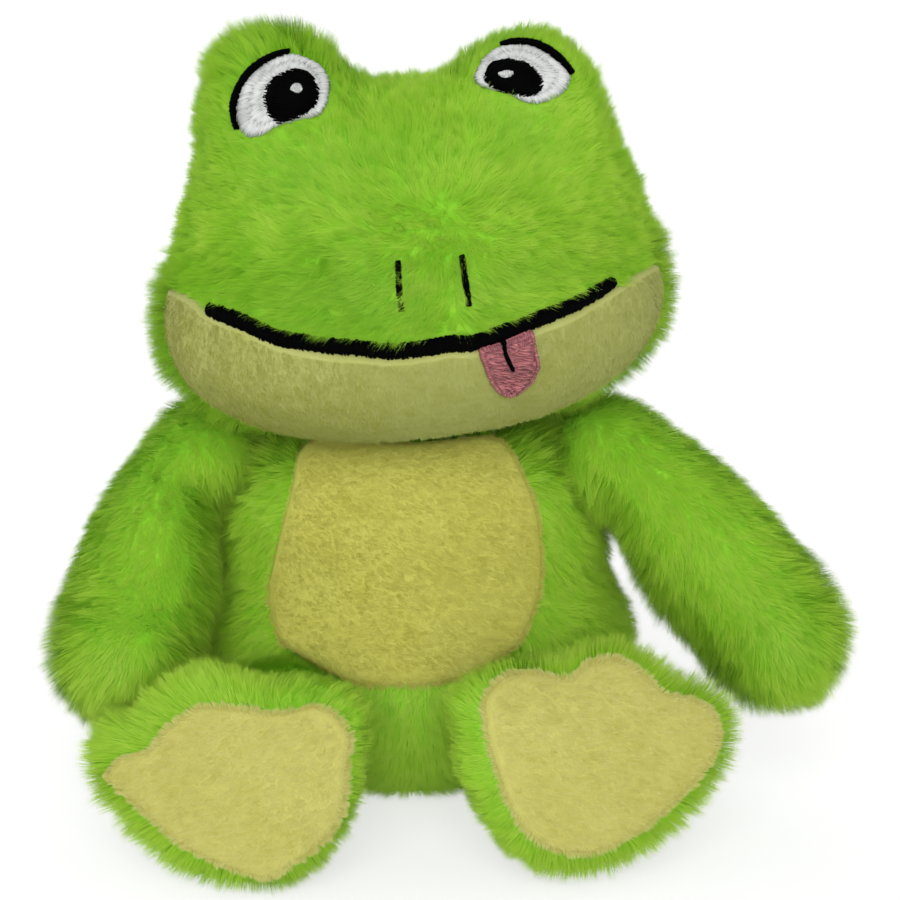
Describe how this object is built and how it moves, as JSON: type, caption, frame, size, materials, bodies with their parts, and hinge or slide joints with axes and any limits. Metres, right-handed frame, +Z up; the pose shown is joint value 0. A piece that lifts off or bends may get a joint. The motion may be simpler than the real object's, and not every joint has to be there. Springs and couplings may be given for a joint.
{
  "type": "plush frog",
  "caption": "Sitting stuffed toy frog with raised eye mounds, a wide smile, long soft arms and broad three-toed feet.",
  "frame": {"origin": "middle of the flat seat face under the torso", "axes": "+Z up out of the surface it sits on, -Y the way the frog faces, +X towards the frog's left"},
  "size_m": [0.1997, 0.1448, 0.1978],
  "materials": {
    "green_plush": "matte",
    "cream_plush": "matte",
    "yellow_plush": "matte",
    "pale_plush": "matte",
    "white_thread": "satin",
    "black_thread": "satin",
    "pink_thread": "satin",
    "green_thread": "matte",
    "stuffing": "matte",
    "pouch_cloth": "matte",
    "seam_cloth": "matte"
  },
  "bodies": {
    "torso": {"torso_skin": "green_plush", "torso_filling": "stuffing", "bean_bag": "pouch_cloth", "belly_panel": "yellow_plush", "closing_seam": "green_thread"},
    "neck": {"neck_seam": "seam_cloth"},
    "head": {"head_skin": "green_plush", "head_filling": "stuffing", "chin_panel": "cream_plush", "mouth_line": "black_thread", "tongue": "pink_thread", "tongue_line": "black_thread", "eye_white_right": "white_thread", "pupil_right": "black_thread", "eye_glint_right": "white_thread", "lid_line_right": "black_thread", "nostril_right": "black_thread", "eye_white_left": "white_thread", "pupil_left": "black_thread", "eye_glint_left": "white_thread", "lid_line_left": "black_thread", "nostril_left": "black_thread"},
    "shoulder_right": {"shoulder_seam_right": "seam_cloth"},
    "arm_right": {"arm_skin_right": "green_plush", "arm_filling_right": "stuffing"},
    "shoulder_left": {"shoulder_seam_left": "seam_cloth"},
    "arm_left": {"arm_skin_left": "green_plush", "arm_filling_left": "stuffing"},
    "hip_right": {"hip_seam_right": "seam_cloth"},
    "leg_right": {"leg_skin_right": "green_plush", "leg_filling_right": "stuffing", "foot_skin_right": "green_plush", "foot_filling_right": "stuffing", "sole_right": "pale_plush"},
    "hip_left": {"hip_seam_left": "seam_cloth"},
    "leg_left": {"leg_skin_left": "green_plush", "leg_filling_left": "stuffing", "foot_skin_left": "green_plush", "foot_filling_left": "stuffing", "sole_left": "pale_plush"}
  },
  "joints": [
    {"name": "head_turn", "type": "hinge", "parent": "torso", "child": "neck", "pos_m": [0, -0.002, 0.101], "axis": [0, 0, 1], "range_deg": [-15, 15], "stiffness_Nm_per_rad": 0.12},
    {"name": "head_nod", "type": "hinge", "parent": "neck", "child": "head", "pos_m": [0, -0.002, 0.101], "axis": [1, 0, 0], "range_deg": [-14, 6], "stiffness_Nm_per_rad": 0.8},
    {"name": "right_arm_swing", "type": "hinge", "parent": "torso", "child": "shoulder_right", "pos_m": [-0.0512, -0.004, 0.0843], "axis": [1, 0, 0], "range_deg": [-30, 4], "stiffness_Nm_per_rad": 0.06},
    {"name": "right_arm_lift", "type": "hinge", "parent": "shoulder_right", "child": "arm_right", "pos_m": [-0.0512, -0.004, 0.0843], "axis": [0, 1, 0], "range_deg": [-1, 40], "stiffness_Nm_per_rad": 0.06},
    {"name": "left_arm_swing", "type": "hinge", "parent": "torso", "child": "shoulder_left", "pos_m": [0.0512, -0.004, 0.0843], "axis": [1, 0, 0], "range_deg": [-30, 20], "stiffness_Nm_per_rad": 0.06},
    {"name": "left_arm_lift", "type": "hinge", "parent": "shoulder_left", "child": "arm_left", "pos_m": [0.0512, -0.004, 0.0843], "axis": [0, -1, 0], "range_deg": [-3, 45], "stiffness_Nm_per_rad": 0.06},
    {"name": "right_leg_spread", "type": "hinge", "parent": "torso", "child": "hip_right", "pos_m": [-0.031, -0.05, 0.0265], "axis": [0, 0, -1], "range_deg": [-6, 4], "stiffness_Nm_per_rad": 0.12},
    {"name": "right_leg_raise", "type": "hinge", "parent": "hip_right", "child": "leg_right", "pos_m": [-0.031, -0.05, 0.0265], "axis": [-1, 0, 0], "range_deg": [-35, 16], "stiffness_Nm_per_rad": 0.12},
    {"name": "left_leg_spread", "type": "hinge", "parent": "torso", "child": "hip_left", "pos_m": [0.031, -0.05, 0.0265], "axis": [0, 0, 1], "range_deg": [-6, 14], "stiffness_Nm_per_rad": 0.12},
    {"name": "left_leg_raise", "type": "hinge", "parent": "hip_left", "child": "leg_left", "pos_m": [0.031, -0.05, 0.0265], "axis": [-1, 0, 0], "range_deg": [-35, 25], "stiffness_Nm_per_rad": 0.12}
  ]
}
